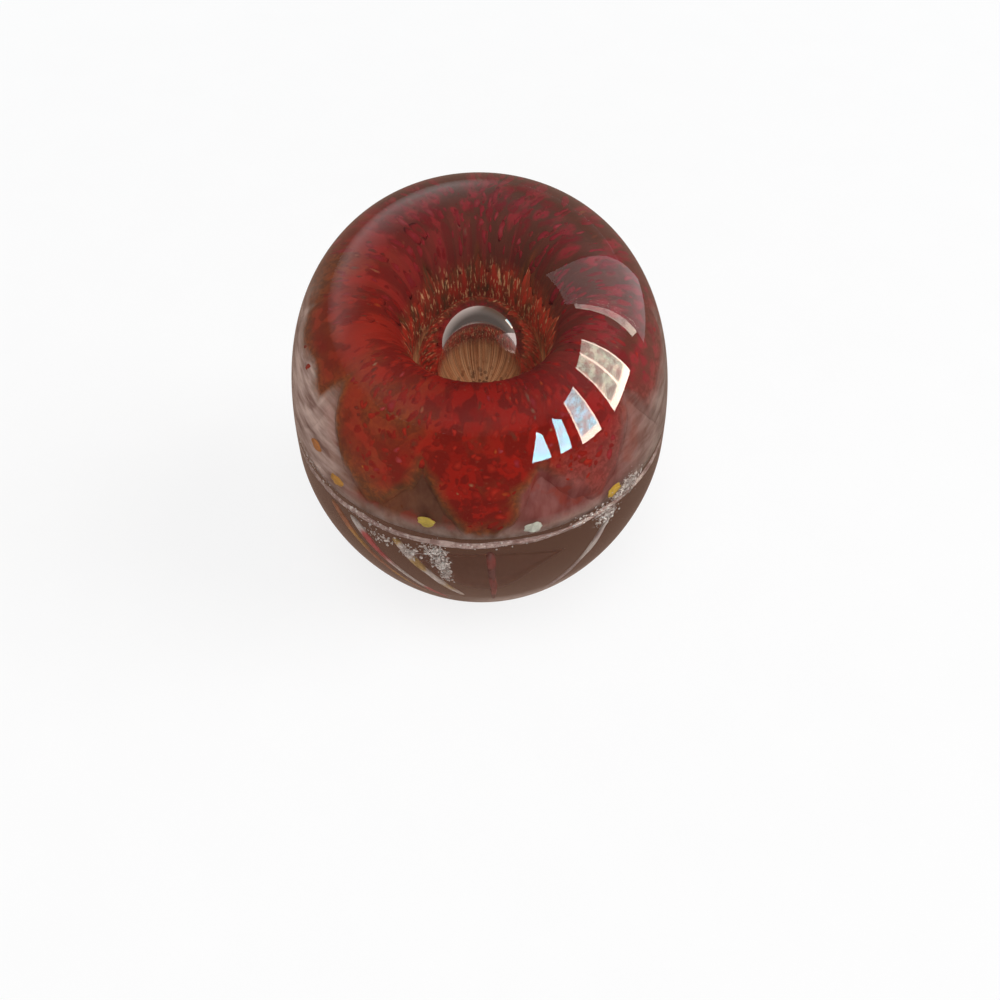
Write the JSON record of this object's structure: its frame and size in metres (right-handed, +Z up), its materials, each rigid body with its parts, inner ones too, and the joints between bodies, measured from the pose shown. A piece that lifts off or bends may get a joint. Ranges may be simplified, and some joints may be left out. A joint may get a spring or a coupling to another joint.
{
  "type": "glass paperweight",
  "caption": "Solid clear glass paperweight with a red frit jellyfish bell, a trapped air bubble in its crown and trailed threads below; stands on a ground flat base.",
  "frame": {"origin": "centre of the ground flat base, on the surface that the paperweight stands on", "axes": "+Z up the axis of the body, -Y towards the side seen in the picture"},
  "size_m": [0.075, 0.075, 0.0845],
  "materials": {
    "clear_glass": "fire-polished clear glass",
    "core_glass": "clear glass with a faint smoky brown cast",
    "red_frit": "mottled red frit with dark green flecks",
    "tan_frit": "tan frit stretched into fine streaks",
    "veil_frit": "thin pale veil streaked with mauve and grey green",
    "silver_thread": "silvery thread full of tiny bubbles",
    "amber_thread": "amber and yellow trailed thread",
    "pink_thread": "pink and white trailed thread",
    "red_thread": "red trailed thread",
    "yellow_chip": "opaque yellow frit",
    "amber_chip": "opaque amber frit",
    "orange_chip": "opaque orange frit",
    "white_chip": "opaque greenish white frit"
  },
  "bodies": {
    "root": {"outer_gather": "clear_glass", "core_gather": "core_glass", "bell": "red_frit", "bubble_cup": "tan_frit", "rim_veil": "veil_frit", "rim_thread": "silver_thread", "tentacle_amber_left": "amber_thread", "tentacle_pink_left": "pink_thread", "tentacle_silver_left": "silver_thread", "tentacle_red_front": "red_thread", "tentacle_silver_right": "silver_thread", "tentacle_pink_right": "pink_thread", "tentacle_amber_back": "amber_thread", "tentacle_red_back": "red_thread", "tentacle_silver_back": "silver_thread", "chip_white_right": "white_chip", "chip_yellow_right": "yellow_chip", "chip_orange_side": "orange_chip", "chip_amber_left": "amber_chip", "chip_yellow_left": "yellow_chip"}
  },
  "joints": []
}
